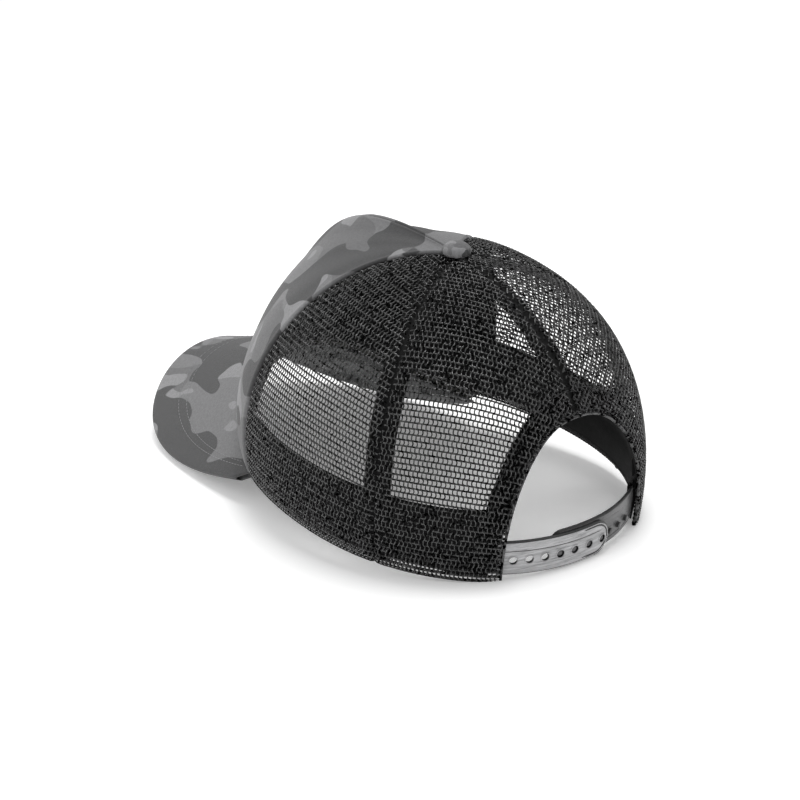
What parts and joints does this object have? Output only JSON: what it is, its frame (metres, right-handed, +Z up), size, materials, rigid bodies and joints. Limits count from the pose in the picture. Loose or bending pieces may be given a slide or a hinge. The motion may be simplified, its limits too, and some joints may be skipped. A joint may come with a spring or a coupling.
{
  "type": "trucker cap",
  "caption": "Cap with a printed stiff front and curved visor, see-through net sides and back, an arched rear opening and a snap closure.",
  "frame": {"origin": "centre of the bounding box at the surface that the cap rests on", "axes": "+Y from the visor to the rear opening, +X to the wearer's left, +Z up"},
  "size_m": [0.1578, 0.2856, 0.1244],
  "materials": {
    "camo_fabric": "matt woven twill, grey camouflage print",
    "buckram": "stiffened backing cloth",
    "black_mesh": "knitted polyester net, slightly shiny",
    "black_tape": "woven seam tape",
    "black_cotton": "matt cotton twill",
    "visor_board": "moulded board",
    "strap_plastic": "semi-gloss moulded strip",
    "plated_steel": "plated",
    "white_satin": "blank satin label"
  },
  "bodies": {
    "cap": {"front_panel": "camo_fabric", "front_buckram": "buckram", "side_mesh_left": "black_mesh", "side_mesh_right": "black_mesh", "back_mesh_left": "black_mesh", "back_mesh_right": "black_mesh", "front_seam_tape_left": "black_tape", "front_seam_tape_right": "black_tape", "side_seam_tape_left": "black_tape", "side_seam_tape_right": "black_tape", "centre_back_tape": "black_tape", "opening_tape": "black_tape", "sweatband": "black_cotton", "care_label": "white_satin", "button_cover": "camo_fabric", "button_shell": "plated_steel", "button_rivet": "plated_steel", "visor_top_fabric": "camo_fabric", "visor_board": "visor_board", "visor_under_fabric": "camo_fabric"},
    "hole_strap": {"hole_strap": "strap_plastic"},
    "peg_strap": {"peg_strap": "strap_plastic"}
  },
  "joints": [
    {"name": "hole_strap_bend", "type": "hinge", "parent": "cap", "child": "hole_strap", "pos_m": [0.03667, 0.13102, 0.00962], "axis": [0, -0.1253, -0.9921], "range_deg": [0, 40]},
    {"name": "peg_strap_bend", "type": "hinge", "parent": "cap", "child": "peg_strap", "pos_m": [-0.03556, 0.12927, 0.00993], "axis": [0, -0.1253, -0.9921], "range_deg": [0, 35]}
  ]
}
